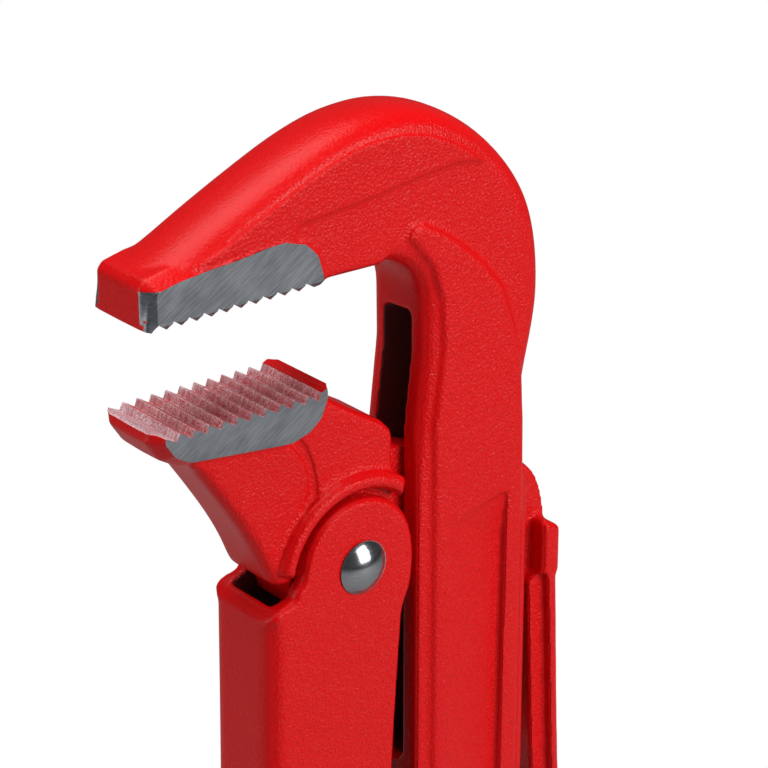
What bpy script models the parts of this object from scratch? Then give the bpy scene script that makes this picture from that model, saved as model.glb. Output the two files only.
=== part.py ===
"""Pipe wrench with jaws at a right angle to the legs and a hook jaw set by a captive nut.

The tool stands upright on the ends of its two legs. X runs from the jaw tips to the back,
Y across the thickness, Z up. Every outline is drawn in millimetres from the pivot rivet's
axis, which is the natural datum of a crossed-lever wrench.
"""
import bpy
import bmesh
from math import atan2, ceil, cos, hypot, pi, radians, sin, sqrt

MM = 0.001

# Overall
LEG_BOTTOM = -238.5          # lowest point of both legs below the pivot
HOOK_TOP = 82.3              # highest point of the hook above the pivot
JAW_TIP_X = -43.6            # front end of the upper jaw
BACK_X = 65.4                # rearmost point of the rear leg
CENTRE_X = (JAW_TIP_X + BACK_X) / 2

# Hook jaw
JAW_HALF = 8.5               # half thickness of both jaws and of the shank
TOOTH_TIP_Z = 55.3           # tips of the upper teeth
TOOTH_DEPTH = 1.3
UPPER_LEAN = 0.42              # where a groove bottom lies between two tips
LOWER_LEAN = 0.78
UPPER_PITCH = 3.0
UPPER_TEETH = 12
SHANK_FRONT = 13.5
SHANK_BACK = 40.4
SHANK_END = -59.0            # where the flat shank turns into the screw
SLOT_HALF = 3.6              # half width of the slot the lever passes through
SLOT_TOP = 43.3
SLOT_BOTTOM = -48.0
WEB_DEPTH = 1.5              # sunk panel on each side of the shank
SCREW_X = 26.5               # axis of the screw and nut
SCREW_R = 10.0
SCREW_FLAT = 5.6             # half thickness across the screw's two flats
SCREW_END = -130.0

# Lower jaw
LOWER_PITCH = 2.95
LOWER_TEETH = 11
EAR_CLEAR_R = 14.3           # shoulder around the front leg's ears
HUB_R = 11.5
HUB_HALF = 5.6               # the hub fits between the ears
POCKET_HALF = 3.4            # pocket that takes the rear leg's tongue
PIN_HOLE_R = 3.95

# Front leg, a channel open towards the shank
LEG_HALF = 9.0
LEG_WALL = 3.0
EAR_R = 12.5
LUG_TOP = -79.0
LUG_BOTTOM = -110.5
LUG_X = 37.5

# Nut
NUT_R = 14.6
NUT_TOP = -85.3
NUT_H = 18.0
NUT_BORE_R = 10.3
NUT_FLUTES = 20

# Rear leg
TONGUE_HALF = 3.2
REAR_HALF = 7.2

# Rivet
RIVET_R = 3.8
RIVET_HEAD_R = 5.1
RIVET_HEAD_H = 2.1
GAP = 0.3


def arc(cx, cz, r, a0, a1, step=12):
    """Points on a circle from angle a0 to a1, in degrees, both ends included."""
    n = max(1, ceil(abs(a1 - a0) / step))
    turns = [radians(a0 + (a1 - a0) * i / n) for i in range(n + 1)]
    return [(cx + r * cos(t), cz + r * sin(t)) for t in turns]


def flow(points, cuts=2):
    """A smooth run through the points, ends kept."""
    out = []
    last = len(points) - 1
    for i in range(last):
        p0 = points[max(i - 1, 0)]
        p1 = points[i]
        p2 = points[i + 1]
        p3 = points[min(i + 2, last)]
        for k in range(cuts + 1):
            t = k / (cuts + 1)
            out.append(tuple(
                0.5 * (2 * b + (c - a) * t + (2 * a - 5 * b + 4 * c - d) * t * t
                       + (3 * b - a - 3 * c + d) * t ** 3)
                for a, b, c, d in zip(p0, p1, p2, p3)))
    out.append(points[-1])
    return out


def place(x, y, z):
    return ((x - CENTRE_X) * MM, y * MM, (z - LEG_BOTTOM) * MM)


def link(name, bm, smooth=True):
    """Turns a bmesh into a named object with outward faces."""
    bmesh.ops.remove_doubles(bm, verts=bm.verts, dist=0.00001)
    bmesh.ops.recalc_face_normals(bm, faces=bm.faces)
    mesh = bpy.data.meshes.new(name)
    bm.to_mesh(mesh)
    bm.free()
    for face in mesh.polygons:
        face.use_smooth = smooth
    obj = bpy.data.objects.new(name, mesh)
    bpy.context.scene.collection.objects.link(obj)
    return obj


def slab(name, outline, y0, y1):
    """An outline in the X-Z plane, extruded across the thickness."""
    bm = bmesh.new()
    face = bm.faces.new([bm.verts.new(place(x, y0, z)) for x, z in outline])
    made = bmesh.ops.extrude_face_region(bm, geom=[face])
    moved = [v for v in made["geom"] if isinstance(v, bmesh.types.BMVert)]
    bmesh.ops.translate(bm, verts=moved, vec=(0, (y1 - y0) * MM, 0))
    return link(name, bm, False)


def upright(name, outline, x, z0, z1):
    """An outline in the X-Y plane about (x, 0), extruded upwards."""
    bm = bmesh.new()
    face = bm.faces.new([bm.verts.new(place(x + u, v, z0)) for u, v in outline])
    made = bmesh.ops.extrude_face_region(bm, geom=[face])
    moved = [v for v in made["geom"] if isinstance(v, bmesh.types.BMVert)]
    bmesh.ops.translate(bm, verts=moved, vec=(0, 0, (z1 - z0) * MM))
    return link(name, bm, False)


def crossbar(name, outline, x0, x1):
    """An outline in the Y-Z plane, extruded along X."""
    bm = bmesh.new()
    face = bm.faces.new([bm.verts.new(place(x0, y, z)) for y, z in outline])
    made = bmesh.ops.extrude_face_region(bm, geom=[face])
    moved = [v for v in made["geom"] if isinstance(v, bmesh.types.BMVert)]
    bmesh.ops.translate(bm, verts=moved, vec=((x1 - x0) * MM, 0, 0))
    return link(name, bm, False)


def block(name, x0, x1, y0, y1, z0, z1):
    return slab(name, [(x0, z0), (x1, z0), (x1, z1), (x0, z1)], y0, y1)


def combine(target, tool, operation):
    """Applies one Boolean and deletes the tool object."""
    mod = target.modifiers.new(operation.lower(), "BOOLEAN")
    mod.operation = operation
    mod.solver = "EXACT"
    mod.object = tool
    depsgraph = bpy.context.evaluated_depsgraph_get()
    result = bpy.data.meshes.new_from_object(target.evaluated_get(depsgraph))
    target.modifiers.clear()
    old = target.data
    target.data = result
    result.name = old.name
    bpy.data.meshes.remove(old)
    bpy.data.objects.remove(tool)


def cut(target, tool):
    combine(target, tool, "DIFFERENCE")


def join(target, tool):
    combine(target, tool, "UNION")


def ease(obj, width, segments=2, pick=None):
    """Rounds the rim edges, those lying along the outline on the two sides."""
    bm = bmesh.new()
    bm.from_mesh(obj.data)
    rims = []
    for edge in bm.edges:
        a, b = (v.co for v in edge.verts)
        level = abs(a.y - b.y) < 1e-7
        sharp = edge.calc_face_angle(0.0) > radians(60)
        if level and sharp and (pick is None or pick((a + b) / 2)):
            rims.append(edge)
    bmesh.ops.bevel(bm, geom=rims, offset=width * MM, segments=segments, profile=0.5,
                    affect="EDGES", clamp_overlap=True)
    bmesh.ops.remove_doubles(bm, verts=bm.verts, dist=0.00002)
    bm.to_mesh(obj.data)
    bm.free()


def comb(name, first_x, first_z, slope, pitch, count, lean, up):
    """V grooves between teeth, cut from the free side of the tooth line."""
    side = 1 if up else -1
    clear = first_z + side * 4.0
    line = []
    for i in range(count - 1):
        left = first_x + i * pitch
        line.append((left, first_z + slope * i * pitch))
        line.append((left + pitch * lean,
                     first_z + slope * (i + lean) * pitch - side * TOOTH_DEPTH))
    end = first_x + (count - 1) * pitch
    line.append((end, first_z + slope * (count - 1) * pitch))
    line.append((end, clear))
    line.append((first_x, clear))
    return slab(name, line, -JAW_HALF - 2, JAW_HALF + 2)


def finish(obj, colour, roughness, metallic):
    """Gives the part its own surface and rounds its shading below 32 degrees."""
    mat = bpy.data.materials.new(obj.name + "_surface")
    mat.use_nodes = True
    shader = mat.node_tree.nodes["Principled BSDF"]
    shader.inputs["Base Color"].default_value = (*colour, 1.0)
    shader.inputs["Roughness"].default_value = roughness
    shader.inputs["Metallic"].default_value = metallic
    mat.diffuse_color = (*colour, 1.0)
    obj.data.materials.clear()
    obj.data.materials.append(mat)
    bm = bmesh.new()
    bm.from_mesh(obj.data)
    bmesh.ops.remove_doubles(bm, verts=bm.verts, dist=0.00002)
    bmesh.ops.dissolve_degenerate(bm, edges=bm.edges, dist=0.00001)
    for face in bm.faces:
        face.smooth = True
    for edge in bm.edges:
        edge.smooth = edge.calc_face_angle(0.0) < radians(32)
    bm.to_mesh(obj.data)
    bm.free()


def turn_about(obj, x, z):
    """Moves the object's origin onto its own axis without moving its surface."""
    where = place(x, 0, z)
    for vert in obj.data.vertices:
        vert.co.x -= where[0]
        vert.co.y -= where[1]
        vert.co.z -= where[2]
    obj.location = where


def lozenge(half, z0, z1):
    """A tall slot outline with round ends, in the Y-Z plane."""
    return arc(0, z1 - half, half, 0, 180, 30) + arc(0, z0 + half, half, 180, 360, 30)


def make_hook_jaw():
    back = flow([(40.3, 12.0), (40.2, 19.5), (40.9, 26.0), (42.9, 35.0), (43.8, 42.0),
                 (43.3, 51.0), (41.3, 59.0), (37.6, 65.8), (32.0, 72.2), (25.6, 77.2),
                 (18.5, 80.7), (11.0, HOOK_TOP - 0.1), (4.0, HOOK_TOP), (-2.0, 81.2),
                 (-9.2, 78.9), (-18.0, 75.1), (-27.5, 70.6), (-35.0, 67.0), (-40.8, 64.8)], 1)
    nose = arc(-41.6, 62.4, 2.0, 120, 180, 30)
    throat = arc(6.0, 46.4, 9.2, 90, 0, 15)
    shank = [(15.2, 36.0), (14.3, 29.0), (SHANK_FRONT, 22.0), (SHANK_FRONT, SHANK_END + 1.5),
             (SCREW_X - SCREW_R, SHANK_END - 3.0), (SCREW_X + SCREW_R, SHANK_END - 3.0),
             (SHANK_BACK, SHANK_END + 1.5), (SHANK_BACK, 5.0)]
    outline = (back + nose + [(JAW_TIP_X, TOOTH_TIP_Z), (-8.2, TOOTH_TIP_Z), (-7.0, 56.3)]
               + throat + shank)
    hook = slab("hook_jaw", outline, -JAW_HALF, JAW_HALF)
    ease(hook, 1.5, 2, lambda p: p.z > place(0, 0, TOOTH_TIP_Z + 0.5)[2]
         or p.x > place(SHANK_FRONT - 1, 0, 0)[0])
    flat = [(SCREW_R * cos(t), SCREW_R * sin(t))
            for t in [radians(a) for a in (-34, -22, -11, 0, 11, 22, 34)]]
    section = flat + [(-x, -y) for x, y in flat]
    section = [(x, max(-SCREW_FLAT, min(SCREW_FLAT, y))) for x, y in section]
    join(hook, upright("screw", section, SCREW_X, SCREW_END, SHANK_END + 6))
    cut(hook, crossbar("slot", lozenge(SLOT_HALF, SLOT_BOTTOM, SLOT_TOP), 4.0, 50.0))
    panel = [(SHANK_FRONT + 4, SHANK_END + 6), (SHANK_BACK - 5.5, SHANK_END + 6),
             (SHANK_BACK - 5.2, 4.0), (SHANK_FRONT + 4, 0.5)]
    cut(hook, slab("near_panel", panel, -JAW_HALF - 1, -JAW_HALF + WEB_DEPTH))
    cut(hook, slab("far_panel", panel, JAW_HALF - WEB_DEPTH, JAW_HALF + 1))
    cut(hook, comb("upper_comb", -42.7, TOOTH_TIP_Z, 0.0, UPPER_PITCH, UPPER_TEETH,
                   UPPER_LEAN, False))
    turn_about(hook, SCREW_X, SHANK_END)
    finish(hook, (0.62, 0.015, 0.012), 0.3, 0.0)
    return hook


def make_nut():
    """Knurled adjusting nut with chamfered rims, turned about its own axis."""
    bm = bmesh.new()
    count = NUT_FLUTES * 2
    rings = []
    for z, inset in ((0.0, 1.2), (1.2, 0.0), (NUT_H - 1.2, 0.0), (NUT_H, 1.2)):
        ring = []
        for i in range(count):
            r = NUT_R - inset - (0.55 if i % 2 else 0.0)
            t = 2 * pi * i / count
            ring.append(bm.verts.new(place(SCREW_X + r * cos(t), r * sin(t), NUT_TOP - z)))
        rings.append(ring)
    inner = []
    for z in (NUT_H, 0.0):
        inner.append([bm.verts.new(place(SCREW_X + NUT_BORE_R * cos(2 * pi * i / count),
                                         NUT_BORE_R * sin(2 * pi * i / count), NUT_TOP - z))
                      for i in range(count)])
    rings += inner
    for a, b in zip(rings, rings[1:] + rings[:1]):
        for i in range(count):
            j = (i + 1) % count
            bm.faces.new([a[i], a[j], b[j], b[i]])
    nut = link("adjusting_nut", bm)
    turn_about(nut, SCREW_X, NUT_TOP - NUT_H / 2)
    finish(nut, (0.55, 0.56, 0.58), 0.35, 1.0)
    return nut


def make_front_leg():
    ear = arc(0, 0, EAR_R, 158, 18, 14) + [(12.1, -2.4), (11.7, -7.7)]
    right = [(9.7, -11.4), (8.6, -24.5), (7.1, -44.1), (6.4, -60.0), (7.6, -70.0)]
    lugs = ([(10.0, -75.0), (13.5, LUG_TOP)] + arc(LUG_X - 3, LUG_TOP - 3, 3, 90, 0, 45)
            + arc(LUG_X - 3, LUG_BOTTOM + 3, 3, 0, -90, 45)
            + flow([(20.0, -113.5), (9.0, -124.0), (1.0, -146.0), (-6.0, -180.0),
                    (-11.0, -210.0), (-13.5, -230.0)], 0))
    foot = arc(-21.8, LEG_BOTTOM + 8.2, 8.2, -5, -175, 34)
    left = [(-30.2, -226.0), (-27.4, -180.0), (-24.2, -130.0), (-22.0, -80.0),
            (-21.1, -41.0), (-20.6, -12.0), (-20.6, -5.2)]
    notch = [(-19.2, -3.6), (-17.0, -2.6), (-14.8, -2.2), (-13.6, -0.8), (-12.6, 2.0)]
    leg = slab("front_leg", ear + right + lugs + foot + left + notch, -LEG_HALF, LEG_HALF)
    ease(leg, 3.6, 3, lambda p: p.x < place(-20.0, 0, 0)[0] and p.z > 0.012)
    inner = flow([(-21.0, -219.0), (-24.4, -180.0), (-21.2, -130.0), (-19.0, -80.0),
                  (-18.0, -41.0), (-17.6, -12.0)], 1)
    inner = [(x if z > -215 else x + 3, z) for x, z in inner]
    hollow = inner + [(-17.6, 30.0), (60.0, 30.0), (60.0, -222.0), (-18.0, -222.0)]
    inside = LEG_HALF - LEG_WALL
    cut(leg, slab("hollow", hollow, -inside, inside))
    cut(leg, block("window", 10.4, 60.0, -20, 20, NUT_TOP - NUT_H - GAP, NUT_TOP + GAP))
    bore = arc(0, 0, PIN_HOLE_R, 0, 345, 15)
    cut(leg, slab("rivet_hole", bore, -LEG_HALF - 2, LEG_HALF + 2))
    turn_about(leg, 0, 0)
    finish(leg, (0.62, 0.015, 0.012), 0.3, 0.0)
    return leg


def make_lower_jaw():
    tail = [(-8.2, 35.45), (-7.2, 36.4), (-6.4, 33.4), (-0.1, 28.6), (6.6, 24.8), (8.6, 22.4),
            (8.7, 16.6), (10.2, 10.9)]
    shoulder = arc(0, 0, EAR_CLEAR_R, 45, 175, 12)
    front = flow([(-19.6, 1.2), (-21.8, 7.2), (-24.2, 12.7), (-28.3, 19.7), (-33.0, 26.5),
                  (-36.2, 30.4)], 1)
    nose = [(-39.3, 32.2), (-41.8, 34.8), (-42.8, 38.2), (-41.6, 38.2), (-40.9, 36.55)]
    jaw = slab("lower_jaw", tail + shoulder + front + nose, -JAW_HALF, JAW_HALF)
    ease(jaw, 1.2, 2, lambda p: p.z < place(0, 0, 32.0)[2] or p.x > place(-7.1, 0, 0)[0])
    hub = (arc(0, 0, HUB_R, 215, 350, 15) + [(10.4, 6.0), (9.4, 12.5), (5.0, 20.5), (-9.0, 20.5),
                                             (-20.5, 9.5), (-19.0, 3.5), (-15.4, -0.5), (-14.4, -5.0)])
    join(jaw, slab("hub", hub, -HUB_HALF, HUB_HALF))
    cut(jaw, slab("pocket", tongue_seat(0.35), -POCKET_HALF, POCKET_HALF))
    cut(jaw, slab("rivet_hole", arc(0, 0, PIN_HOLE_R, 0, 345, 15), -12, 12))
    cut(jaw, comb("lower_comb", -37.9, 36.5, -0.0225, LOWER_PITCH, LOWER_TEETH,
                  LOWER_LEAN, True))
    turn_about(jaw, 0, 0)
    finish(jaw, (0.62, 0.015, 0.012), 0.3, 0.0)
    return jaw


def tongue_seat(play):
    """The pocket for the tongue inside the lower jaw: eye, heel and the way out."""
    eye = arc(0, 0, 9.0 + play, 150, 285, 15)
    out = [(11.0, -9.6 - play), (30.0, -14.0), (30.0, 18.0 + play), (-3.0, 18.0 + play)]
    return eye + out


def make_rear_leg():
    eye = arc(0, 0, 9.0, 150, 285, 15)
    under = [(11.0, -9.6), (28.0, -13.5), (39.0, -17.0), (45.0, -19.0)]
    dome = flow([(48.6, -9.0), (48.5, -4.9), (47.8, -1.6), (46.5, 1.9), (44.2, 5.0),
                 (40.5, 7.6), (36.0, 9.6)], 0)
    roof = [(25.0, 13.6), (13.0, 18.0), (-3.0, 18.0)]
    leg = slab("rear_leg", eye + under + dome + roof, -TONGUE_HALF, TONGUE_HALF)
    outer = flow([(49.1, -8.0), (49.1, -18.0), (51.0, -60.0), (53.3, -85.0), (55.2, -105.0),
                  (58.0, -130.0), (61.0, -160.0), (63.6, -190.0), (BACK_X, -218.0),
                  (BACK_X, -230.0)], 0)
    foot = arc(BACK_X - 8.2, LEG_BOTTOM + 8.2, 8.2, 0, -180, 30)
    inner = flow([(49.4, -215.0), (47.0, -185.0), (46.3, -155.0), (47.2, -125.0),
                  (47.5, -100.0), (46.9, -84.0), (45.0, -58.0), (43.4, -24.0)], 0)
    body = slab("leg_body", [(45.1, -6.4), (46.3, -5.6)] + outer + foot + inner
                + [(43.2, -18.6), (45.1, -16.0)], -REAR_HALF, REAR_HALF)
    ease(body, 1.0, 2)
    sunk = flow([(48.0, -30.0), (49.0, -60.0), (51.0, -85.0), (52.6, -105.0), (55.2, -130.0),
                 (57.8, -160.0), (59.6, -190.0), (60.2, -214.0)], 0)
    sunk += [(53.5, -214.0), (50.2, -185.0), (49.4, -155.0), (50.2, -125.0), (50.2, -108.0),
             (49.0, -84.0), (47.2, -58.0), (45.9, -30.0)]
    cut(body, slab("near_panel", sunk, -REAR_HALF - 1, -REAR_HALF + 1.8))
    cut(body, slab("far_panel", sunk, REAR_HALF - 1.8, REAR_HALF + 1))
    join(leg, body)
    cut(leg, slab("rivet_hole", arc(0, 0, PIN_HOLE_R, 0, 345, 15), -12, 12))
    turn_about(leg, 0, 0)
    finish(leg, (0.62, 0.015, 0.012), 0.3, 0.0)
    return leg


def make_rivet():
    """Solid rivet with a shallow dome on each side, spun about the pivot axis."""
    ball = (RIVET_HEAD_R ** 2 + RIVET_HEAD_H ** 2) / (2 * RIVET_HEAD_H)
    seat = LEG_HALF + GAP
    swing = atan2(RIVET_HEAD_R, ball - RIVET_HEAD_H)
    profile = [(0.0, seat + RIVET_HEAD_H)]
    for i in range(1, 6):
        t = swing * i / 5
        profile.append((ball * sin(t), seat + RIVET_HEAD_H - ball + ball * cos(t)))
    profile += [(RIVET_HEAD_R - 0.1, seat), (RIVET_R, seat)]
    profile += [(r, -y) for r, y in reversed(profile)]
    bm = bmesh.new()
    verts = [bm.verts.new(place(r, y, 0)) for r, y in profile]
    edges = [bm.edges.new(pair) for pair in zip(verts, verts[1:])]
    bmesh.ops.spin(bm, geom=verts + edges, cent=place(0, 0, 0), axis=(0, 1, 0),
                   angle=2 * pi, steps=24, use_merge=True, use_duplicate=False)
    rivet = link("pivot_rivet", bm)
    turn_about(rivet, 0, 0)
    finish(rivet, (0.6, 0.61, 0.63), 0.2, 1.0)
    return rivet


def main():
    for obj in list(bpy.data.objects):
        bpy.data.objects.remove(obj)
    make_hook_jaw()
    make_nut()
    make_front_leg()
    make_lower_jaw()
    make_rear_leg()
    make_rivet()


main()
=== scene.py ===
"""Looks of a pipe wrench: red lacquered forgings, milled jaws, polished rivet, knurled nut.

Outlines are in millimetres from the pivot rivet's axis, X towards the back, Z up.
"""
import bpy
from math import ceil, cos, hypot, pi, radians, sin, sqrt
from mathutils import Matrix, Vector


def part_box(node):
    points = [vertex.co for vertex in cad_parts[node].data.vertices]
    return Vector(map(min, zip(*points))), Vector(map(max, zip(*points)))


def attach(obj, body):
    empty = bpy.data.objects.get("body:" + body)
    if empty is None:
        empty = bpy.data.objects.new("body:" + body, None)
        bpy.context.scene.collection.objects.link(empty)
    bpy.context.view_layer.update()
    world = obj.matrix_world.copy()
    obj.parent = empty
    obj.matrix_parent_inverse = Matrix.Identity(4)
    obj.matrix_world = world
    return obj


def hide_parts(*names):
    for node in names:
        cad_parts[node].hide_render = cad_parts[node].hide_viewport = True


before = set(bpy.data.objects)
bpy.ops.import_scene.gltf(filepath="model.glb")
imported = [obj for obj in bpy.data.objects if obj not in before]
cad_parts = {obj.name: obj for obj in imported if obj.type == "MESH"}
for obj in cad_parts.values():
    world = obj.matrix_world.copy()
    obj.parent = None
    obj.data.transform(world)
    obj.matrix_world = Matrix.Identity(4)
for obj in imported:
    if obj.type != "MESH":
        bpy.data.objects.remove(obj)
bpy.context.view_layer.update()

MM = 0.001
RIVET_LOW, RIVET_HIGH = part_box("pivot_rivet")
PIVOT_X = (RIVET_LOW.x + RIVET_HIGH.x) / 2
PIVOT_Z = (RIVET_LOW.z + RIVET_HIGH.z) / 2
NUT_LOW, NUT_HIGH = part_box("adjusting_nut")
HOOK_LOW, HOOK_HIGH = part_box("hook_jaw")
SCREW_X = ((NUT_LOW.x + NUT_HIGH.x) / 2 - PIVOT_X) / MM
NUT_BASE = (NUT_LOW.z - PIVOT_Z) / MM
NUT_TOP = (NUT_HIGH.z - PIVOT_Z) / MM
NUT_R = (NUT_HIGH.x - NUT_LOW.x) / 2 / MM
HOOK_TOP = (HOOK_HIGH.z - PIVOT_Z) / MM
SCREW_END = (HOOK_LOW.z - PIVOT_Z) / MM
LEG_END = -PIVOT_Z / MM

JAW_HALF = 8.5              # half thickness at the milled jaw flats
SHANK_HALF = 8.9
LEG_HALF = 9.0
JAW_TIP = -43.6
EAR_CLEAR_R = 14.3          # round seat of the lower jaw over the front leg's ears
TOOTH_DEPTH = 1.3
RIVET_HOLE_R = 3.95
TONGUE_HALF = 3.2           # half thickness of the rear leg's tongue
POCKET_HALF = 3.4           # half width of the lower jaw's pocket round the tongue
HUB_HALF = 5.5
CHANNEL_HALF = 6.0          # half width inside the front leg's channel
SCREW_CORE_R = 8.6
SCREW_FLAT = 5.6            # half thickness across the screw's two flats
SCREW_TOP = -60.0
THREAD_PITCH = 4.0
NUT_BORE_R = 10.3
CLEAR = 12.0                # reach of a cutter that goes clear of both sides


# ---------------------------------------------------------------- outlines

def place(x, y, z):
    """Tool millimetres to the frame's metres."""
    return Vector((PIVOT_X + x * MM, y * MM, PIVOT_Z + z * MM))


def tool_mm(point):
    """The frame's metres back to tool millimetres."""
    return (point.x - PIVOT_X) / MM, point.y / MM, (point.z - PIVOT_Z) / MM


def arc(cx, cz, r, a0, a1, step=10):
    """Points of an arc about (cx, cz), degrees from the back, rising through up."""
    n = max(1, ceil(abs(a1 - a0) / step))
    turns = [radians(a0 + (a1 - a0) * i / n) for i in range(n + 1)]
    return [(cx + r * cos(t), cz + r * sin(t)) for t in turns]


def flow(points, cuts=3):
    """A smooth run through the points, ends kept."""
    out = []
    last = len(points) - 1
    for i in range(last):
        p0 = points[max(i - 1, 0)]
        p1 = points[i]
        p2 = points[i + 1]
        p3 = points[min(i + 2, last)]
        for k in range(cuts + 1):
            t = k / (cuts + 1)
            out.append(tuple(
                0.5 * (2 * b + (c - a) * t + (2 * a - 5 * b + 4 * c - d) * t * t
                       + (3 * b - a - 3 * c + d) * t ** 3)
                for a, b, c, d in zip(p0, p1, p2, p3)))
    out.append(points[-1])
    return out


# ---------------------------------------------------------------- bench work

def clear_bench():
    if bpy.context.object and bpy.context.object.mode != "OBJECT":
        bpy.ops.object.mode_set(mode="OBJECT")
    bpy.ops.object.select_all(action="DESELECT")


def pick(obj):
    clear_bench()
    obj.select_set(True)
    bpy.context.view_layer.objects.active = obj


def settle(obj):
    """Puts the object's origin at the frame's origin, its place in its mesh."""
    pick(obj)
    bpy.ops.object.transform_apply(location=True, rotation=True, scale=True)


def first_point(name, spot):
    """Starts a drawn line: a new mesh of one point, selected in edit mode."""
    clear_bench()
    bpy.ops.mesh.primitive_plane_add(size=0.001, location=spot)
    obj = bpy.context.object
    obj.name = name
    bpy.ops.object.mode_set(mode="EDIT")
    bpy.ops.mesh.select_mode(type="VERT")
    bpy.ops.mesh.select_all(action="SELECT")
    bpy.ops.mesh.merge(type="CENTER")
    return obj


def traced_face(name, outline, level=0.0, plane="XZ"):
    """A flat face drawn corner by corner from one point, level being its place on the third
    axis."""
    def spot(corner):
        given = iter(corner)
        return place(*[next(given) if axis in plane else level for axis in "XYZ"])

    obj = first_point(name, spot(outline[0]))
    here = outline[0]
    for corner in outline[1:] + outline[:1]:
        bpy.ops.mesh.extrude_region_move(
            TRANSFORM_OT_translate={"value": spot(corner) - spot(here)})
        here = corner
    bpy.ops.mesh.select_all(action="SELECT")
    bpy.ops.mesh.remove_doubles(threshold=0.000002)
    bpy.ops.mesh.select_all(action="SELECT")
    bpy.ops.mesh.edge_face_add()
    bpy.ops.object.mode_set(mode="OBJECT")
    settle(obj)
    return obj


def forged(name, outline, layers):
    """A forging split on its middle plane: each layer insets the outline by the first number and
    rises by the second, then the half is mirrored."""
    obj = traced_face(name, outline)
    pick(obj)
    if obj.data.polygons[0].normal.y > 0:
        obj.data.flip_normals()
    bpy.ops.object.mode_set(mode="EDIT")
    bpy.ops.mesh.select_mode(type="FACE")
    bpy.ops.mesh.select_all(action="SELECT")
    for inward, rise in layers:
        bpy.ops.mesh.inset(thickness=inward * MM, depth=rise * MM, use_boundary=True,
                           use_even_offset=True)
    bpy.ops.object.mode_set(mode="OBJECT")
    mirror = obj.modifiers.new("other_half", "MIRROR")
    mirror.use_axis = (False, True, False)
    mirror.use_clip = True
    mirror.merge_threshold = 0.00001
    bpy.ops.object.modifier_apply(modifier=mirror.name)
    face_out(obj)
    return obj


def plate(name, outline, low, high, plane="XZ"):
    """An outline pulled straight from one level of the third axis to another."""
    obj = traced_face(name, outline, low, plane)
    pull = [0.0 if axis in plane else (high - low) * MM for axis in "XYZ"]
    pick(obj)
    bpy.ops.object.mode_set(mode="EDIT")
    bpy.ops.mesh.select_all(action="SELECT")
    bpy.ops.mesh.extrude_region_move(TRANSFORM_OT_translate={"value": pull})
    bpy.ops.object.mode_set(mode="OBJECT")
    face_out(obj)
    return obj


def lift(obj, chosen, across):
    """Moves the points that pass a test, given in tool millimetres, across the tool."""
    pick(obj)
    bpy.ops.object.mode_set(mode="EDIT")
    bpy.ops.mesh.select_mode(type="VERT")
    bpy.ops.mesh.select_all(action="DESELECT")
    bpy.ops.object.mode_set(mode="OBJECT")
    for vert in obj.data.vertices:
        vert.select = chosen(*tool_mm(vert.co))
    bpy.ops.object.mode_set(mode="EDIT")
    bpy.ops.transform.translate(value=(0, across * MM, 0))
    bpy.ops.object.mode_set(mode="OBJECT")
    return obj


def block(name, x0, x1, y0, y1, z0, z1):
    clear_bench()
    bpy.ops.mesh.primitive_cube_add(size=1, location=place((x0 + x1) / 2, (y0 + y1) / 2,
                                                          (z0 + z1) / 2))
    obj = bpy.context.object
    obj.name = name
    obj.scale = ((x1 - x0) * MM, (y1 - y0) * MM, (z1 - z0) * MM)
    settle(obj)
    return obj


def rivet_hole():
    return plate("rivet_hole", arc(0, 0, RIVET_HOLE_R, 0, 348, 12), -CLEAR, CLEAR)


def face_out(obj):
    """Merges doubled points and turns every face outwards."""
    pick(obj)
    bpy.ops.object.mode_set(mode="EDIT")
    bpy.ops.mesh.select_all(action="SELECT")
    bpy.ops.mesh.remove_doubles(threshold=0.000003)
    bpy.ops.mesh.normals_make_consistent(inside=False)
    bpy.ops.object.mode_set(mode="OBJECT")


def combine(body, tool, operation):
    pick(body)
    mod = body.modifiers.new("work", "BOOLEAN")
    mod.operation = operation
    mod.solver = "EXACT"
    mod.object = tool
    bpy.ops.object.modifier_apply(modifier=mod.name)
    bpy.data.objects.remove(tool)


def cut(body, tool):
    combine(body, tool, "DIFFERENCE")


def join(body, tool):
    combine(body, tool, "UNION")


def soften(obj, grain, rounds, keep):
    """Runs the sharp edges together into the soft fillets of a lacquered forging."""
    pick(obj)
    remesh = obj.modifiers.new("skin", "REMESH")
    remesh.mode = "VOXEL"
    remesh.voxel_size = grain * MM
    bpy.ops.object.modifier_apply(modifier=remesh.name)
    smooth = obj.modifiers.new("fillets", "SMOOTH")
    smooth.factor = 0.5
    smooth.iterations = rounds
    bpy.ops.object.modifier_apply(modifier=smooth.name)
    thin = obj.modifiers.new("thin", "DECIMATE")
    thin.ratio = keep
    bpy.ops.object.modifier_apply(modifier=thin.name)
    bpy.ops.object.shade_smooth()


def round_edges(obj, chosen, width, segments):
    """Rounds the edges lying in the two flat sides whose ends all pass the test."""
    pick(obj)
    bpy.ops.object.mode_set(mode="EDIT")
    bpy.ops.mesh.select_mode(type="EDGE")
    bpy.ops.mesh.select_all(action="DESELECT")
    bpy.ops.object.mode_set(mode="OBJECT")
    points = obj.data.vertices
    for edge in obj.data.edges:
        a, b = (points[i].co for i in edge.vertices)
        level = abs(a.y - b.y) < 0.00001
        edge.select = level and chosen(*tool_mm(a)) and chosen(*tool_mm(b))
    bpy.ops.object.mode_set(mode="EDIT")
    bpy.ops.mesh.bevel(offset=width * MM, segments=segments, affect="EDGES")
    bpy.ops.mesh.select_mode(type="VERT")
    bpy.ops.object.mode_set(mode="OBJECT")


def crisp(obj, degrees):
    pick(obj)
    bpy.ops.object.shade_smooth_by_angle(angle=radians(degrees))


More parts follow.
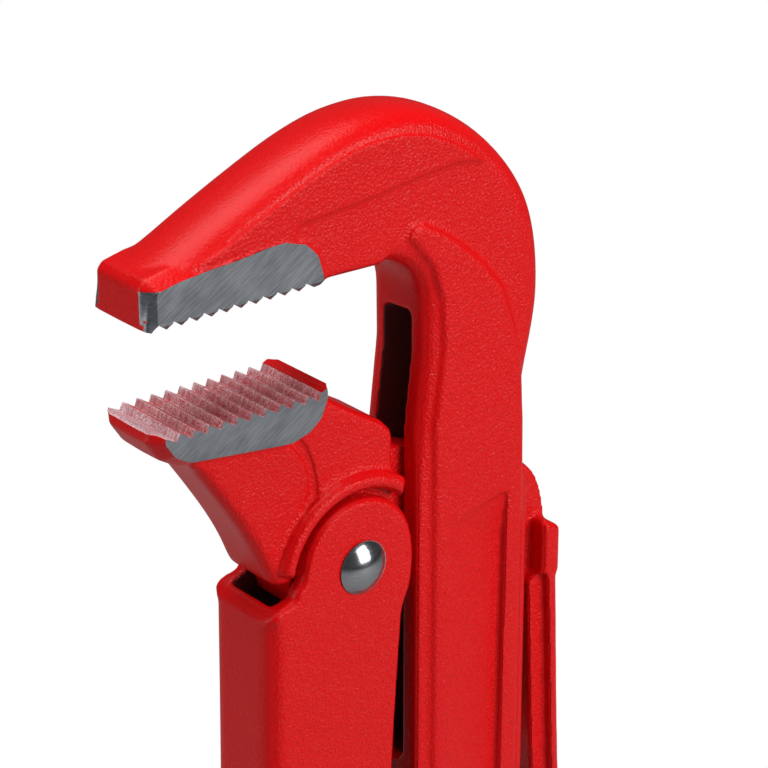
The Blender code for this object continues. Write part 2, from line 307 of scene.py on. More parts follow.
def comb_line(first, pitch, count, slope, lean, side):
    """Tooth line from the first tip; lean says where the groove lies between two tips."""
    x0, z0 = first
    line = []
    for i in range(count - 1):
        tip = x0 + i * pitch
        z = z0 + slope * i * pitch
        floor = z + slope * lean * pitch - side * TOOTH_DEPTH
        line += [(tip - 0.1, z - side * 0.08), (tip + 0.12, z), (tip + 0.3, z - side * 0.12),
                 (tip + lean * pitch - 0.12, floor), (tip + lean * pitch + 0.1, floor)]
    return line


# ---------------------------------------------------------------- finishes

def group(name, inputs, outputs):
    tree = bpy.data.node_groups.new(name, "ShaderNodeTree")
    for label, kind, value in inputs:
        socket = tree.interface.new_socket(name=label, in_out="INPUT", socket_type=kind)
        socket.default_value = value
    for label, kind in outputs:
        tree.interface.new_socket(name=label, in_out="OUTPUT", socket_type=kind)
    return tree, tree.nodes.new("NodeGroupInput"), tree.nodes.new("NodeGroupOutput")


def feed(tree, socket, value):
    """Sets a socket from a plain value, or links it to another node's output."""
    if isinstance(value, (int, float, tuple)):
        socket.default_value = value
    else:
        tree.links.new(value, socket)


def math_node(tree, operation, a, b):
    node = tree.nodes.new("ShaderNodeMath")
    node.operation = operation
    for socket, value in zip(node.inputs, (a, b)):
        feed(tree, socket, value)
    return node.outputs[0]


def noise(tree, vector, scale, detail, roughness=0.5):
    node = tree.nodes.new("ShaderNodeTexNoise")
    for label, value in (("Vector", vector), ("Scale", scale), ("Detail", detail),
                         ("Roughness", roughness)):
        feed(tree, node.inputs[label], value)
    return node.outputs["Fac"]


def remap(tree, value, low, high, to_low=0.0, to_high=1.0, smooth=False):
    """Spreads a value's run from low to high over another run."""
    node = tree.nodes.new("ShaderNodeMapRange")
    if smooth:
        node.interpolation_type = "SMOOTHSTEP"
    for label, given in (("Value", value), ("From Min", low), ("From Max", high),
                         ("To Min", to_low), ("To Max", to_high)):
        feed(tree, node.inputs[label], given)
    return node.outputs[0]


def mix_colour(tree, amount, first, second):
    node = tree.nodes.new("ShaderNodeMix")
    node.data_type = "RGBA"
    for label, value in (("Factor", amount), ("A", first), ("B", second)):
        feed(tree, node.inputs[label], value)
    return node.outputs["Result"]


def lacquer_grain():
    """Pebbled skin of lacquer over a shot-blasted forging: fine bumps, a broad wave, painted
    highlight specks on the bump tops and painted shade in their pits.
    """
    tree, given, out = group(
        "lacquer_grain",
        [("Vector", "NodeSocketVector", (0, 0, 0)), ("Pebble", "NodeSocketFloat", 1500.0),
         ("Base", "NodeSocketColor", (0.6, 0.01, 0.01, 1)),
         ("Light", "NodeSocketColor", (0.8, 0.05, 0.04, 1)),
         ("Dark", "NodeSocketColor", (0.35, 0.005, 0.005, 1))],
        [("Color", "NodeSocketColor"), ("Height", "NodeSocketFloat"),
         ("Roughness", "NodeSocketFloat")])
    where = given.outputs["Vector"]
    pebble = given.outputs["Pebble"]
    fine = noise(tree, where, pebble, 2.5, 0.55)
    pits = tree.nodes.new("ShaderNodeTexVoronoi")
    pits.feature = "SMOOTH_F1"
    pits.inputs["Smoothness"].default_value = 0.6
    tree.links.new(where, pits.inputs["Vector"])
    tree.links.new(math_node(tree, "MULTIPLY", pebble, 0.8), pits.inputs["Scale"])
    broad = noise(tree, where, 90.0, 3.0)
    bumps = math_node(tree, "ADD", math_node(tree, "MULTIPLY", fine, 0.7),
                      math_node(tree, "MULTIPLY", pits.outputs["Distance"], 0.45))
    height = math_node(tree, "ADD", bumps, math_node(tree, "MULTIPLY", broad, 0.5))
    # Painted highlight: the tops of the fine bumps are mixed towards the Light colour; painted
    # shade: their pits are mixed towards the Dark colour.
    painted_sparkle = math_node(tree, "MULTIPLY", remap(tree, fine, 0.55, 0.72), 0.28)
    painted_pit_shade = math_node(tree, "MULTIPLY", remap(tree, fine, 0.45, 0.25), 0.4)
    lit = mix_colour(tree, painted_sparkle, given.outputs["Base"], given.outputs["Light"])
    shaded = mix_colour(tree, painted_pit_shade, lit, given.outputs["Dark"])
    tree.links.new(shaded, out.inputs["Color"])
    tree.links.new(height, out.inputs["Height"])
    tree.links.new(remap(tree, fine, 0.0, 1.0, 0.24, 0.4), out.inputs["Roughness"])
    return tree


def brushed_grain():
    """Fine parallel strokes of a milled face, with a few deeper ones and a cloudy sheen."""
    tree, given, out = group(
        "brushed_grain",
        [("Vector", "NodeSocketVector", (0, 0, 0)), ("Tilt", "NodeSocketFloat", 0.5),
         ("Dark", "NodeSocketColor", (0.2, 0.21, 0.22, 1)),
         ("Light", "NodeSocketColor", (0.5, 0.52, 0.54, 1))],
        [("Color", "NodeSocketColor"), ("Height", "NodeSocketFloat"),
         ("Roughness", "NodeSocketFloat")])
    turn = tree.nodes.new("ShaderNodeVectorRotate")
    turn.rotation_type = "Y_AXIS"
    tree.links.new(given.outputs["Vector"], turn.inputs["Vector"])
    tree.links.new(given.outputs["Tilt"], turn.inputs["Angle"])
    stretch = tree.nodes.new("ShaderNodeVectorMath")
    stretch.operation = "MULTIPLY"
    stretch.inputs[1].default_value = (260, 1500, 4200)
    tree.links.new(turn.outputs["Vector"], stretch.inputs[0])
    strokes = noise(tree, stretch.outputs["Vector"], 1.0, 3.0)
    clouds = noise(tree, given.outputs["Vector"], 160.0, 4.0)
    both = math_node(tree, "ADD", math_node(tree, "MULTIPLY", strokes, 0.65),
                     math_node(tree, "MULTIPLY", clouds, 0.35))
    tone = mix_colour(tree, remap(tree, both, 0.36, 0.64), given.outputs["Dark"],
                      given.outputs["Light"])
    tree.links.new(tone, out.inputs["Color"])
    tree.links.new(strokes, out.inputs["Height"])
    tree.links.new(remap(tree, both, 0.0, 1.0, 0.28, 0.5), out.inputs["Roughness"])
    return tree


LACQUER_GRAIN = lacquer_grain()
BRUSHED_GRAIN = brushed_grain()


def finish_on(name, grain, values, strength, distance):
    """A material whose colour, roughness and bump come from one of the grain groups."""
    mat = bpy.data.materials.new(name)
    mat.use_nodes = True
    tree = mat.node_tree
    shader = tree.nodes["Principled BSDF"]
    where = tree.nodes.new("ShaderNodeTexCoord")
    node = tree.nodes.new("ShaderNodeGroup")
    node.node_tree = grain
    tree.links.new(where.outputs["Object"], node.inputs["Vector"])
    for label, value in values.items():
        node.inputs[label].default_value = value
    bump = tree.nodes.new("ShaderNodeBump")
    bump.inputs["Strength"].default_value = strength
    bump.inputs["Distance"].default_value = distance * MM
    tree.links.new(node.outputs["Height"], bump.inputs["Height"])
    tree.links.new(node.outputs["Color"], shader.inputs["Base Color"])
    tree.links.new(node.outputs["Roughness"], shader.inputs["Roughness"])
    tree.links.new(bump.outputs["Normal"], shader.inputs["Normal"])
    return mat, shader, node


def red_lacquer(name):
    """Glossy red lacquer, pebbled most on the flat sides and smoother round the edges."""
    # Light is the colour of the painted highlight specks on the bump tops, Dark the colour of the
    # painted shade in the pits.
    mat, shader, node = finish_on(
        name, LACQUER_GRAIN,
        {"Pebble": 2300.0, "Base": (0.63, 0.002, 0.003, 1), "Light": (0.76, 0.015, 0.018, 1),
         "Dark": (0.38, 0.002, 0.003, 1)}, 0.6, 0.5)
    shader.inputs["Specular IOR Level"].default_value = 0.3
    shader.inputs["Specular Tint"].default_value = (1.0, 0.6, 0.6, 1.0)
    tree = mat.node_tree
    where = tree.nodes.new("ShaderNodeTexCoord")
    split = tree.nodes.new("ShaderNodeSeparateXYZ")
    tree.links.new(where.outputs["Normal"], split.inputs["Vector"])
    across = math_node(tree, "ABSOLUTE", split.outputs["Y"], 0.0)
    flat = remap(tree, across, 0.7, 0.97, 0.3, 1.0, smooth=True)
    bump = [n for n in tree.nodes if n.bl_idname == "ShaderNodeBump"][0]
    tree.links.new(math_node(tree, "MULTIPLY", flat, node.outputs["Height"]),
                   bump.inputs["Height"])
    return mat


def recess_shade_lacquer(name):
    """Darker lacquer colour for the inner walls of the slot and channel: painted shade for the
    dark inside them.
    """
    # Its Light and Dark are the painted highlight specks and painted pit shade of the grain, both
    # darkened.
    mat, shader, node = finish_on(
        name, LACQUER_GRAIN,
        {"Pebble": 1100.0, "Base": (0.15, 0.032, 0.032, 1), "Light": (0.28, 0.05, 0.05, 1),
         "Dark": (0.07, 0.018, 0.018, 1)}, 0.6, 0.12)
    shader.inputs["Specular IOR Level"].default_value = 0.3
    return mat


def milled_steel(name, tilt=0.55):
    mat, shader, node = finish_on(
        name, BRUSHED_GRAIN,
        {"Tilt": tilt, "Dark": (0.165, 0.175, 0.19, 1), "Light": (0.285, 0.298, 0.318, 1)}, 0.25,
        0.05)
    shader.inputs["Metallic"].default_value = 0.9
    return mat


def tooth_steel(name):
    """Tooth flanks: milled steel dusted with overspray, so mostly pinkish red."""
    mat, shader, node = finish_on(
        name, BRUSHED_GRAIN,
        {"Tilt": 1.2, "Dark": (0.56, 0.32, 0.35, 1), "Light": (0.98, 0.84, 0.86, 1)}, 0.35, 0.06)
    tree = mat.node_tree
    where = tree.nodes.new("ShaderNodeTexCoord")
    bare = remap(tree, noise(tree, where.outputs["Object"], 3600.0, 2.0), 0.38, 0.51)
    tree.links.new(mix_colour(tree, bare, (0.70, 0.10, 0.13, 1), node.outputs["Color"]),
                   shader.inputs["Base Color"])
    shader.inputs["Metallic"].default_value = 0.25
    return mat


def polished_steel(name, dark, light):
    mat, shader, node = finish_on(
        name, BRUSHED_GRAIN, {"Tilt": 0.0, "Dark": dark, "Light": light}, 0.06, 0.03)
    mat.node_tree.links.new(
        remap(mat.node_tree, node.outputs["Roughness"], 0.28, 0.5, 0.12, 0.22),
        shader.inputs["Roughness"])
    shader.inputs["Metallic"].default_value = 1.0
    return mat


# ---------------------------------------------------------------- hook jaw

def milled_faces(obj, inside, steel, tooth, on_tooth):
    """Gives bare steel to the flat sides of a jaw and tooth steel to the tooth flanks."""
    obj.data.materials.append(steel)
    obj.data.materials.append(tooth)
    for face in obj.data.polygons:
        x, y, z = tool_mm(face.center)
        flat = abs(abs(y) - JAW_HALF) < 0.02 and abs(face.normal.y) > 0.98
        turned = x < -40.2 and 54 < z < 62.3 and abs(face.normal.y) > 0.25
        if turned or flat and inside(x, z):
            face.material_index = 1
            face.use_smooth = turned and not flat
        elif abs(face.normal.y) < 0.97 and on_tooth(x, z, face.normal):
            face.material_index = 2
            face.use_smooth = False


def make_hook():
    crest = flow([(40.3, 12.0), (40.2, 19.5), (40.9, 26.0), (42.9, 35.0), (43.8, 42.0),
                  (43.3, 51.0), (41.3, 59.0), (37.6, 65.8), (32.0, 72.2), (25.6, 77.2),
                  (18.5, 80.7), (11.0, HOOK_TOP - 0.1), (4.0, HOOK_TOP - 0.2), (-2.0, 81.2),
                  (-9.2, 78.9), (-18.0, 75.1), (-27.5, 70.6), (-35.0, 66.8), (-41.0, 64.4)], 2)
    bridge = [(-43.6, 54.2), (-8.4, 54.2), (-6.9, 55.9)]
    throat = arc(5.6, 46.2, 9.4, 90, 0, 12)
    front = [(15.1, 36.0), (14.3, 29.0), (13.5, 22.0), (13.5, -57.5), (16.5, -62.0),
             (36.5, -62.0), (40.4, -57.5), (40.4, 4.0)]
    edge = flow([(37.0, 12.0), (36.9, 20.0), (37.8, 28.0), (39.3, 36.0), (39.9, 43.0),
                 (39.2, 51.0), (37.0, 58.0), (33.4, 64.2), (28.6, 69.6), (22.8, 74.2),
                 (16.6, 77.3), (10.0, 78.9), (3.8, 78.9), (-1.4, 78.2), (-8.2, 76.0),
                 (-16.8, 72.4), (-26.4, 68.0), (-34.0, 64.6), (-40.0, 62.6)], 2)
    hook = plate("hook_jaw_forging", edge + [(-42.6, 61.0)] + bridge + throat + front,
                 -7.9, 7.9)
    round_edges(hook, lambda x, y, z: (7 < x < 15.6 and -55 < z < 56) or
                (-6.8 < x < 14 and 55 < z < 56.5), 3.2, 5)
    back = [(40.4, 6.0), (40.4, -57.5), (36.5, -62.0), (30.0, -60.0), (30.0, 30.0),
            (32.0, 45.0), (28.0, 58.0), (17.0, 66.0), (8.0, 68.0), (-2.0, 66.5),
            (-16.0, 61.0), (-36.0, 57.4), (-43.6, 57.0)]
    join(hook, forged("crown", [(-43.6, 63.2)] + crest[::-1] + back,
                      [(0.02, 1.6), (0.22, 1.8), (0.5, 1.8), (0.75, 1.3), (0.95, 0.9),
                       (0.5, 0.3)]))
    soften(hook, 0.6, 8, 1.0)
    upper_field = ([(-32.5, 64.8), (-13.5, 64.8), (-12.9, 67.2), (-5.2, 67.9), (4.8, 68.9),
                    (15.1, 70.3), (21.8, 70.9), (26.2, 70.4)]
                   + flow([(27.6, 69.9), (22.4, 73.7), (16.3, 76.7), (9.9, 78.2), (3.8, 78.2),
                           (-1.2, 77.5), (-7.9, 75.3), (-16.5, 71.7), (-26.1, 67.3)], 1))
    join(hook, plate("upper_field", upper_field, -8.4, 8.4))
    cheek = [(12.0, 57.2), (10.2, 59.3), (11.4, 61.7), (14.4, 61.9), (18.3, 59.7), (22.9, 56.5),
             (28.4, 51.5), (33.3, 45.5), (36.0, 38.0), (38.0, 28.0), (38.6, 18.0), (38.9, 4.0),
             (38.9, -57.0), (16.2, -57.0), (16.2, 22.0), (17.2, 29.0), (18.2, 37.0),
             (17.8, 46.0), (15.8, 52.5)]
    join(hook, forged("cheek", cheek, [(0.05, 7.6), (0.25, 0.6), (0.5, 0.45), (0.8, 0.25)]))
    pad = [(-43.6, 54.2), (-43.6, 62.6), (-42.4, 64.0), (-38.0, 65.0), (-30.0, 65.9),
           (-23.3, 66.5), (-15.1, 66.6), (-10.3, 65.4), (-7.0, 62.0), (-5.6, 57.0), (-6.2, 54.2)]
    join(hook, forged("pad", pad, [(0.1, 6.0), (0.9, 1.2), (0.9, 1.2), (0.6, 0.6)]))
    cut(hook, lever_slot())
    panel = [(16.0, -58.0), (33.4, -58.0), (34.0, -4.0), (34.3, 4.8), (16.0, 1.0)]
    for side in (-1, 1):
        sunk = plate("panel", panel, side * (SHANK_HALF - 1.5), side * CLEAR)
        lift(sunk, lambda x, y, z: x < 20 and abs(y) < 10, side * 1.7)
        lift(sunk, lambda x, y, z: z > 2 and abs(y) < 10, side * 0.8)
        cut(hook, sunk)
    soften(hook, 0.44, 4, 0.55)
    steel_edge = [(-43.35, 50.0), (-43.35, 61.9), (-42.6, 62.7), (-41.4, 63.0), (-35.1, 63.4),
                  (-25.0, 64.2), (-16.8, 65.0), (-12.7, 64.9), (-9.9, 63.2), (-7.8, 60.0),
                  (-7.2, 56.9), (-7.4, 50.0)]
    for side in (-1, 1):
        cut(hook, plate("mill", steel_edge, side * JAW_HALF, side * CLEAR))
        cut(hook, rounded_corner(JAW_TIP + 0.1, 1.7, side, 50, 62.3))
    teeth = comb_line((-42.6, 55.3), 3.0, 12, 0.0, 0.42, -1)
    cut(hook, plate("groove", teeth + [(-9.4, 55.3), (-7.6, 55.4), (-6.2, 56.0), (-6.2, 50.0),
                                       (-45.0, 50.0), (-45.0, 55.9), (-43.1, 55.5)],
                    -CLEAR, CLEAR))
    join(hook, threaded_end())
    hook.data.materials.clear()
    hook.data.materials.append(red_lacquer("hook_lacquer"))
    milled_faces(hook, lambda x, z: x < -6.5 and 53 < z < 66,
                 milled_steel("hook_steel"), milled_steel("hook_teeth", 1.2),
                 lambda x, z, n: -43.3 < x < -7.2 and z < 57.0)
    thread_faces(hook, milled_steel("screw_steel", 1.57))
    # Painted shade: the slot's inner walls get a dark colour for the shade inside the slot.
    shade_painted_faces(hook, recess_shade_lacquer("slot_painted_shade"),
               lambda x, y, z, n: abs(y) < 4.0 and 13.6 < x < 40.3 and
               -48.6 < z < 43.9 and (abs(n.y) > 0.75 or 16 < x < 39))
    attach(hook, "hook")
    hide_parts("hook_jaw")
    return hook


def lever_slot():
    """The tall slot the lever passes through, drawn looking at the front of the shank."""
    outline = ([(3.8, -44.4), (3.8, 42.3), (3.0, 43.1), (-3.0, 43.6), (-3.8, 42.8)]
               + arc(0, -44.4, 3.8, 180, 350))
    return plate("slot", outline, -2, 58, "YZ")


def rounded_corner(x, r, side, low, high):
    """Cutter that rounds the upright corner where the end at x meets one side of the jaw."""
    y = side * JAW_HALF
    bend = [(x + r - r * cos(radians(a)), y - side * (r - r * sin(radians(a))))
            for a in range(0, 91, 10)]
    return plate("corner", bend + [(x + r, y + side * 3), (x - 2, y + side * 3),
                                   (x - 2, y - side * r)], low, high, "XY")


def threaded_end():
    """Screw with two flats: a core, one trapezoid ridge wound round it, both planed flat."""
    ridge = first_point("ridge", place(SCREW_X + 8.4, 0, SCREW_END + 1))
    for dx, dz in ((1.55, 0.75), (0, 1.0), (-1.55, 0.75)):
        bpy.ops.mesh.extrude_region_move(
            TRANSFORM_OT_translate={"value": (dx * MM, 0, dz * MM)})
    bpy.ops.mesh.extrude_region_move(TRANSFORM_OT_translate={"value": (0, 0, -2.5 * MM)})
    bpy.ops.mesh.select_all(action="SELECT")
    bpy.ops.mesh.remove_doubles(threshold=0.00001)
    bpy.ops.mesh.select_all(action="SELECT")
    bpy.ops.mesh.edge_face_add()
    bpy.ops.mesh.delete(type="ONLY_FACE")
    bpy.ops.object.mode_set(mode="OBJECT")
    settle(ridge)
    bpy.context.scene.cursor.location = place(SCREW_X, 0, SCREW_END)
    bpy.ops.object.origin_set(type="ORIGIN_CURSOR")
    bpy.context.scene.cursor.location = (0, 0, 0)
    wind = ridge.modifiers.new("wind", "SCREW")
    wind.axis = "Z"
    wind.steps = 40
    wind.render_steps = 40
    wind.iterations = 16
    wind.screw_offset = THREAD_PITCH * MM
    bpy.ops.object.modifier_apply(modifier=wind.name)
    settle(ridge)
    bpy.ops.object.mode_set(mode="EDIT")
    bpy.ops.mesh.select_all(action="SELECT")
    bpy.ops.mesh.remove_doubles(threshold=0.000003)
    bpy.ops.mesh.select_mode(type="EDGE")
    bpy.ops.mesh.select_all(action="DESELECT")
    bpy.ops.mesh.select_non_manifold()
    bpy.ops.mesh.fill()
    bpy.ops.object.mode_set(mode="OBJECT")
    face_out(ridge)
    clear_bench()
    length = SCREW_TOP - SCREW_END
    bpy.ops.mesh.primitive_cylinder_add(vertices=48, radius=SCREW_CORE_R * MM, depth=length * MM,
                                        location=place(SCREW_X, 0, SCREW_END + length / 2))
    core = bpy.context.object
    core.name = "screw"
    settle(core)
    join(core, ridge)
    pick(core)
    bpy.ops.object.mode_set(mode="EDIT")
    for side in (-1, 1):
        bpy.ops.mesh.select_all(action="SELECT")
        bpy.ops.mesh.bisect(plane_co=(0, side * SCREW_FLAT * MM, 0), plane_no=(0, side, 0),
                            use_fill=True, clear_outer=True)
    bpy.ops.object.mode_set(mode="OBJECT")
    return core


def shade_painted_faces(obj, material, inside):
    """Gives a hidden inner wall its own darker finish: painted shade for the dark inside."""
    obj.data.materials.append(material)
    number = len(obj.data.materials) - 1
    for face in obj.data.polygons:
        if inside(*tool_mm(face.center), face.normal):
            face.material_index = number


def thread_faces(obj, steel):
    """Leaves the screw end below the shank's shoulder in bare steel."""
    obj.data.materials.append(steel)
    number = len(obj.data.materials) - 1
    limit = place(0, 0, -62.3).z
    for face in obj.data.polygons:
        if face.center.z < limit:
            face.material_index = number
            face.use_smooth = False


def make_lower_jaw():
    head = [(-8.4, 38.0), (-6.8, 38.0), (-5.6, 36.0), (-5.2, 33.2), (1.5, 28.7), (6.4, 25.8),
            (8.6, 23.4), (8.9, 20.5), (8.8, 16.9), (10.4, 12.4), (10.3, 9.9)]
    shoulder = arc(0, 0, EAR_CLEAR_R, 44, 174, 10)
    stem = flow([(-14.6, 0.4), (-16.8, 0.6), (-18.7, 1.9), (-21.0, 7.2), (-23.9, 12.7),
                 (-28.3, 19.7), (-33.0, 26.5), (-36.2, 30.2), (-39.5, 32.4), (-41.9, 34.8),
                 (-42.9, 38.2)], 2)
    lip = [(-41.6, 40.2), (-40.4, 38.2)]
    jaw = plate("lower_jaw_forging", head + shoulder + stem + lip, -6.9, 6.9)
    round_edges(jaw, lambda x, y, z: -35 < x < -15 and 1 < z < 29, 2.0, 4)
    soften(jaw, 0.5, 8, 1.0)
    seam = [(-17.0, 29.0), (-13.4, 26.2), (-11.2, 23.2), (-10.2, 20.0), (-10.4, 16.8),
            (-12.0, 13.2), (-8.0, 13.2), (-8.2, 18.0), (-9.0, 22.0), (-10.6, 26.0), (-13.0, 29.0)]
    for side in (-1, 1):
        cut(jaw, plate("seam", seam, side * 6.3, side * CLEAR))
    heel_field = [(-12.4, 27.2), (-10.2, 24.4), (-8.8, 21.4), (-8.0, 18.4), (-8.2, 17.4),
                  (-5.0, 18.6), (0.0, 19.2), (5.0, 18.3), (7.6, 16.9), (7.4, 22.6),
                  (5.8, 24.6), (1.5, 27.3), (-4.0, 30.5), (-8.2, 32.0)]
    join(jaw, plate("heel_field", heel_field, -7.4, 7.4))
    bead = arc(0, 0, 17.7, 52, 170, 9) + arc(0, 0, EAR_CLEAR_R, 174, 46, 9)
    join(jaw, forged("bead", bead, [(0.05, 7.6), (0.35, 0.7), (0.5, 0.4), (0.4, 0.1)]))
    pad = [(-42.2, 39.8), (-42.9, 35.0), (-40.4, 31.2), (-36.6, 28.9), (-25.9, 27.6),
           (-14.7, 26.3), (-10.0, 27.6), (-7.0, 30.0), (-5.2, 34.2), (-5.4, 38.4)]
    join(jaw, forged("pad", pad, [(0.1, 5.4), (0.7, 1.3), (0.8, 1.2), (0.5, 1.3)]))
    soften(jaw, 0.4, 5, 0.5)
    steel_edge = [(-41.9, 45.0), (-42.2, 38.0), (-41.7, 35.0), (-39.1, 32.3), (-36.1, 30.6),
                  (-25.9, 29.2), (-14.9, 27.9), (-11.0, 29.0), (-8.6, 31.0), (-6.9, 34.4),
                  (-6.6, 45.0)]
    teeth = comb_line((-37.9, 36.5), 2.95, 11, -0.0225, 0.78, 1)
    cut(jaw, plate("groove", [(-44.5, 36.0), (-42.9, 36.6), (-42.2, 36.9), (-41.6, 36.7),
                              (-40.0, 35.9), (-38.6, 35.25)] + teeth
                   + [(-8.4, 35.9), (-7.6, 36.3), (-6.2, 36.5), (-5.4, 35.9),
                             (-4.0, 34.0), (-4.0, 44.0), (-44.5, 44.0)],
                   -CLEAR, CLEAR))
    for side in (-1, 1):
        cut(jaw, plate("mill", steel_edge, side * JAW_HALF, side * CLEAR))
    hub = (arc(0, 0, 11.3, 215, 350, 10)
           + [(10.2, 6.0), (9.2, 12.5), (5.0, 18.5), (-9.0, 18.5), (-17.4, 8.5), (-16.2, 3.5),
              (-13.8, -0.8), (-12.6, -5.4)])
    join(jaw, plate("hub", hub, -HUB_HALF, HUB_HALF))
    cut(jaw, plate("pocket", arc(0, 0, 9.4, 150, 285, 12)
                   + [(11.0, -10.0), (30.0, -14.4), (30.0, 18.4), (-3.0, 18.4)],
                   -POCKET_HALF, POCKET_HALF))
    cut(jaw, rivet_hole())
    jaw.data.materials.clear()
    jaw.data.materials.append(red_lacquer("lower_jaw_lacquer"))
    milled_faces(jaw, lambda x, z: x < -6.5 and z > 27,
                 milled_steel("lower_steel"), tooth_steel("lower_teeth"),
                 lambda x, z, n: z > 34.2 and abs(n.y) < 0.5 and
                 (x < -38.4 and n.z > 0.6 or -38.4 <= x < -8.2 and n.x < 0.3))
    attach(jaw, "lever")
    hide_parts("lower_jaw")
    return jaw


# ---------------------------------------------------------------- legs

def spine_x(z):
    """Where the front leg's closed back runs at a height."""
    return -20.8 - max(0.0, -z - 41.0) * 0.045


def make_front_leg():
    ear = flow([(-14.4, -0.6), (-12.9, 1.2), (-12.1, 5.0), (-9.6, 9.4), (-5.8, 12.1),
                (-1.3, 13.2), (4.0, 12.4), (8.5, 9.4), (11.0, 5.2), (12.0, 0.0), (11.8, -4.5),
                (11.2, -7.8), (9.7, -11.2), (9.1, -17.0), (8.0, -32.0), (7.3, -44.0),
                (6.5, -60.0), (7.6, -70.0)], 1)
    lugs = ([(10.0, -75.0), (13.5, -79.0)] + arc(34.5, -82.0, 3, 90, 0, 30)
            + arc(34.5, -107.5, 3, 0, -90, 30)
            + flow([(20.0, -113.5), (9.0, -124.0), (1.0, -146.0), (-6.0, -180.0),
                    (-11.0, -210.0), (-13.5, -230.0)], 2))
    foot = arc(-21.8, LEG_END + 8.2, 8.2, -5, -175, 17)
    left = flow([(-30.2, -226.0), (-27.4, -180.0), (-24.2, -130.0), (-22.0, -80.0),
                 (-21.1, -41.0), (-20.7, -12.0), (-20.6, -5.2)], 1)
    notch = [(-19.2, -3.6), (-17.0, -2.6), (-15.0, -2.2)]
    leg = plate("front_leg_forging", ear + lugs + foot + left + notch, -LEG_HALF, LEG_HALF)
    round_edges(leg, lambda x, y, z: x < -20.4 and z > -218, 3.6, 6)
    round_edges(leg, lambda x, y, z: abs(y) > LEG_HALF - 0.01 and x > -19.0, 0.8, 2)
    hollow = flow([(-21.0, -215.0), (-24.4, -180.0), (-21.2, -130.0), (-19.0, -80.0),
                   (-18.3, -41.0), (-18.0, -12.0)], 1)
    hollow += [(-18.0, 30.0), (60.0, 30.0), (60.0, -222.0), (-18.0, -222.0)]
    cut(leg, plate("hollow", hollow, -CHANNEL_HALF, CHANNEL_HALF))
    cut(leg, block("window", 10.4, 60.0, -20, 20, NUT_BASE - 0.3, NUT_TOP + 0.3))
    cut(leg, rivet_hole())
    soften(leg, 0.5, 6, 0.45)
    leg.data.materials.clear()
    leg.data.materials.append(red_lacquer("front_leg_lacquer"))
    # Painted shade: the channel's inner walls get a dark colour for the shade inside the channel.
    shade_painted_faces(leg, recess_shade_lacquer("channel_painted_shade"),
               lambda x, y, z, n: -221 < z and abs(y) < 6.2 and
               (abs(n.y) > 0.8 or z < -5 and x > spine_x(z) + 1.6))
    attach(leg, "fixed_leg")
    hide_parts("front_leg")
    return leg


def make_rear_leg():
    tongue = (arc(0, 0, 9.0, 150, 285, 12)
              + [(11.0, -9.6), (28.0, -13.5), (39.0, -17.0), (46.0, -19.0)]
              + flow([(48.6, -9.0), (48.5, -4.9), (47.8, -1.6), (46.5, 1.9), (44.2, 5.0),
                      (40.5, 7.6), (36.0, 9.6)], 2) + [(25.0, 13.6), (13.0, 18.0), (-3.0, 18.0)])
    leg = plate("rear_leg_forging", tongue, -TONGUE_HALF, TONGUE_HALF)
    outer = [(49.7, -8.0), (49.7, -17.0), (49.1, -18.4)]
    outer += flow([(49.3, -22.0), (51.0, -60.0), (53.3, -85.0), (55.2, -105.0),
                  (58.0, -130.0), (61.0, -160.0), (63.6, -190.0), (65.2, -218.0),
                  (65.2, -230.0)], 2)
    foot = arc(57.1, LEG_END + 8.15, 8.1, 0, -180, 15)
    inner = flow([(49.4, -215.0), (47.0, -185.0), (46.3, -155.0), (47.2, -125.0),
                  (47.5, -100.0), (46.9, -84.0), (45.0, -58.0), (43.4, -24.0)], 2)
    body = plate("leg_body", [(45.2, -6.6), (46.2, -5.8)] + outer + foot + inner
                 + [(43.2, -18.8), (45.2, -16.4)], -7.2, 7.2)
    round_edges(body, lambda x, y, z: True, 0.9, 2)
    sunk = flow([(46.4, -17.0), (47.2, -30.0), (48.6, -60.0), (50.6, -85.0), (52.4, -105.0),
                 (55.2, -130.0), (57.8, -160.0), (59.6, -190.0), (60.2, -214.0)], 2)
    sunk += [(53.5, -214.0), (50.2, -185.0), (49.4, -155.0), (50.2, -125.0), (48.0, -108.0),
             (44.0, -84.0), (42.0, -58.0), (40.0, -17.0)]
    for side in (-1, 1):
        cut(body, plate("panel", sunk, side * 5.4, side * CLEAR))
    join(leg, body)
    cut(leg, rivet_hole())
    soften(leg, 0.4, 9, 0.4)
    leg.data.materials.clear()
    leg.data.materials.append(red_lacquer("rear_leg_lacquer"))
    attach(leg, "lever")
    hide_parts("rear_leg")
    return leg


# ---------------------------------------------------------------- rivet and nut

def make_rivet():
    """Half of the rivet's profile spun about the pivot axis."""
    head_r = 5.1
    rise = 2.1
    seat = LEG_HALF + 0.15
    ball = (head_r ** 2 + rise ** 2) / (2 * rise)
    dome = []
    for i in range(9):
        r = head_r * sin(radians(90 * i / 8)) * 0.98
        dome.append((r, seat + rise - ball + sqrt(ball * ball - r * r)))
    profile = dome + [(head_r, seat + 0.12), (head_r - 0.15, seat), (3.7, seat - 0.05)]
    profile += [(r, -y) for r, y in reversed(profile)]
    rivet = first_point("rivet_domes", place(0, profile[0][1], 0))
    here = profile[0]
    for r, y in profile[1:]:
        bpy.ops.mesh.extrude_region_move(
            TRANSFORM_OT_translate={"value": ((r - here[0]) * MM, (y - here[1]) * MM, 0)})
        here = (r, y)
    bpy.ops.mesh.select_all(action="SELECT")
    bpy.ops.mesh.spin(steps=64, angle=2 * pi, center=place(0, 0, 0), axis=(0, 1, 0))
    bpy.ops.object.mode_set(mode="OBJECT")
    settle(rivet)
    face_out(rivet)
    crisp(rivet, 50)
    rivet.data.materials.append(polished_steel("rivet_steel", (0.30, 0.31, 0.33, 1),
                                               (0.42, 0.43, 0.45, 1)))
    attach(rivet, "fixed_leg")
    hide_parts("pivot_rivet")
    return rivet


